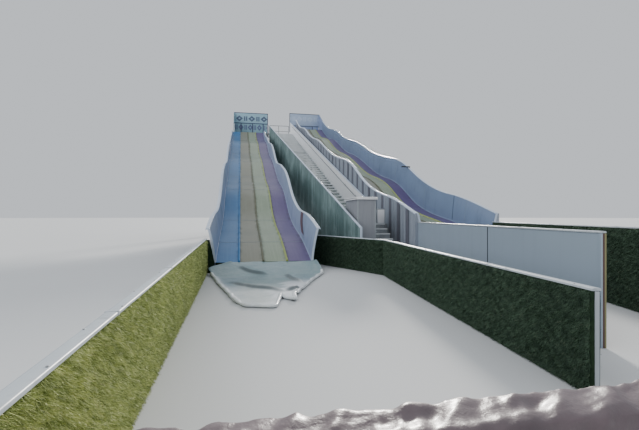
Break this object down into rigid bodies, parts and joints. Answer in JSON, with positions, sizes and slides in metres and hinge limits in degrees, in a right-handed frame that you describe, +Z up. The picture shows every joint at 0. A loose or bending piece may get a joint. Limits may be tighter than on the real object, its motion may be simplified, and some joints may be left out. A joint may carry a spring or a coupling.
{
  "type": "wave slide tower",
  "caption": "Dry fairground wave slide: two humped multi-lane chutes from a raised platform, stair between them, turf-clad low walls and landing mats.",
  "frame": {"origin": "on the ground under the middle of the whole object's box", "axes": "+Z up, +Y up the slides from the run-outs to the tower, +X to the right seen from the run-outs"},
  "size_m": [9.7056, 39.2414, 12.07],
  "materials": {
    "lanes": "gloss gel coat; blue, tan, pale green and purple lanes from left to right",
    "side_wall": "satin gel coat with a white trim",
    "skirt_sheet": "ribbed sheet, satin",
    "ribbed_sheet": "ribbed sheet, satin",
    "parapet_sheet": "plain sheet, satin",
    "galvanised_steel": "galvanised",
    "deck_plate": "chequer plate",
    "screen_board": "painted board",
    "turf": "artificial turf",
    "white_sheet": "gloss white",
    "padding": "silver coated sheet over foam",
    "landing_mat": "coated fabric"
  },
  "bodies": {
    "root": {"centre_wall_back": "turf", "centre_wall_front": "turf", "entry_landing": "deck_plate", "entry_panel": "white_sheet", "entry_steps": "deck_plate", "front_padded_wall": "padding", "kiosk_roof": "white_sheet", "kiosk_walls": "parapet_sheet", "left_landing_mat": "landing_mat", "left_lanes_1": "lanes", "left_lanes_2": "lanes", "left_lanes_3": "lanes", "left_lanes_4": "lanes", "left_lip_riser": "turf", "left_return_panel": "turf", "left_side_screen": "screen_board", "left_slide_left_skirt": "skirt_sheet", "left_slide_left_wall": "side_wall", "left_slide_right_skirt": "skirt_sheet", "left_slide_right_wall": "side_wall", "left_start_deck": "deck_plate", "left_start_screen": "screen_board", "left_trestle_1": "galvanised_steel", "left_trestle_2": "galvanised_steel", "left_trestle_3": "galvanised_steel", "left_turf_wall": "turf", "right_landing_mat": "landing_mat", "right_lanes_1": "lanes", "right_lanes_2": "lanes", "right_lanes_3": "lanes", "right_lanes_4": "lanes", "right_lip_riser": "turf", "right_side_screen": "screen_board", "right_slide_left_skirt": "skirt_sheet", "right_slide_left_wall": "side_wall", "right_slide_right_skirt": "skirt_sheet", "right_slide_right_wall": "side_wall", "right_start_deck": "deck_plate", "right_start_screen": "screen_board", "right_trestle_1": "galvanised_steel", "right_trestle_2": "galvanised_steel", "right_trestle_3": "galvanised_steel", "right_turf_wall": "turf", "stair_flight_1": "galvanised_steel", "stair_flight_2": "galvanised_steel", "stair_flight_3": "galvanised_steel", "stair_flight_4": "galvanised_steel", "stair_head_deck": "deck_plate", "stair_head_guard": "galvanised_steel", "stair_parapet": "parapet_sheet", "stair_ribbed_wall": "ribbed_sheet", "stair_trestle_1": "galvanised_steel", "stair_trestle_2": "galvanised_steel", "tower_frame_1": "galvanised_steel", "tower_frame_2": "galvanised_steel", "tower_frame_3": "galvanised_steel", "tower_frame_4": "galvanised_steel", "tower_frame_5": "galvanised_steel", "white_wall_back": "white_sheet", "white_wall_front": "white_sheet"}
  },
  "joints": []
}
